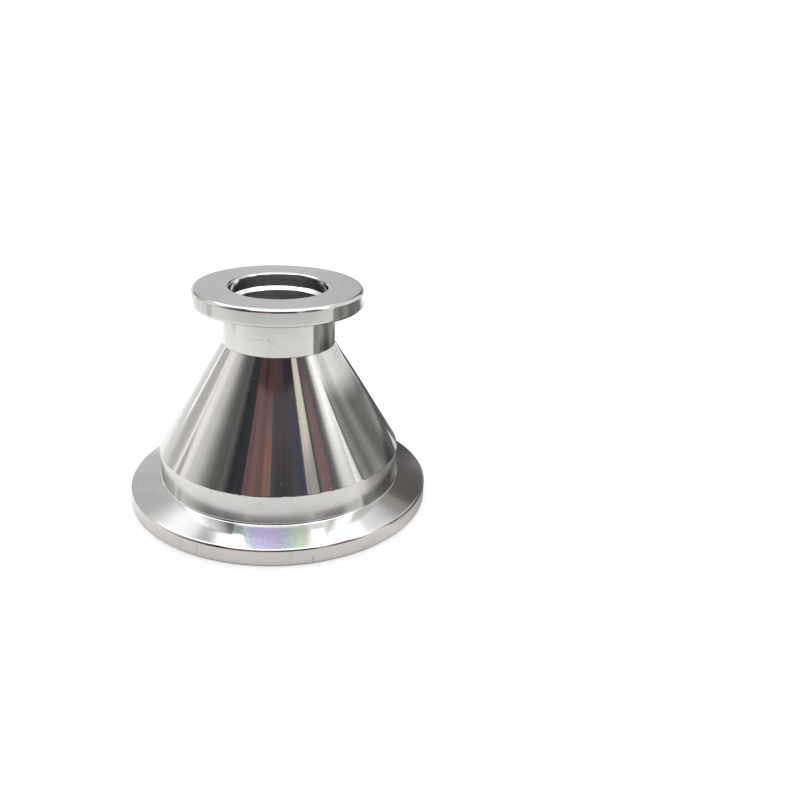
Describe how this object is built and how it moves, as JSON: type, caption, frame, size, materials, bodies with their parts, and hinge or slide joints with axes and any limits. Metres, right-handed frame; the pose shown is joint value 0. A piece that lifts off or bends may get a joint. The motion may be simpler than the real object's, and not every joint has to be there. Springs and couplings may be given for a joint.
{
  "type": "tapered vacuum reducer",
  "caption": "Open conical steel reducer, turned in one piece, that joins a wide and a narrow quick-release clamp flange of a vacuum line on one axis.",
  "frame": {"origin": "centre of the wide flange's sealing face", "axes": "+Z along the axis from the wide flange to the narrow flange; X and Y point anywhere, because the part is a body of revolution"},
  "size_m": [0.055, 0.055, 0.04],
  "materials": {
    "turned_stainless": "bright turned, satin on the sealing faces and rims, near mirror on the cone"
  },
  "bodies": {
    "root": {"reducer_body": "turned_stainless"}
  },
  "joints": []
}
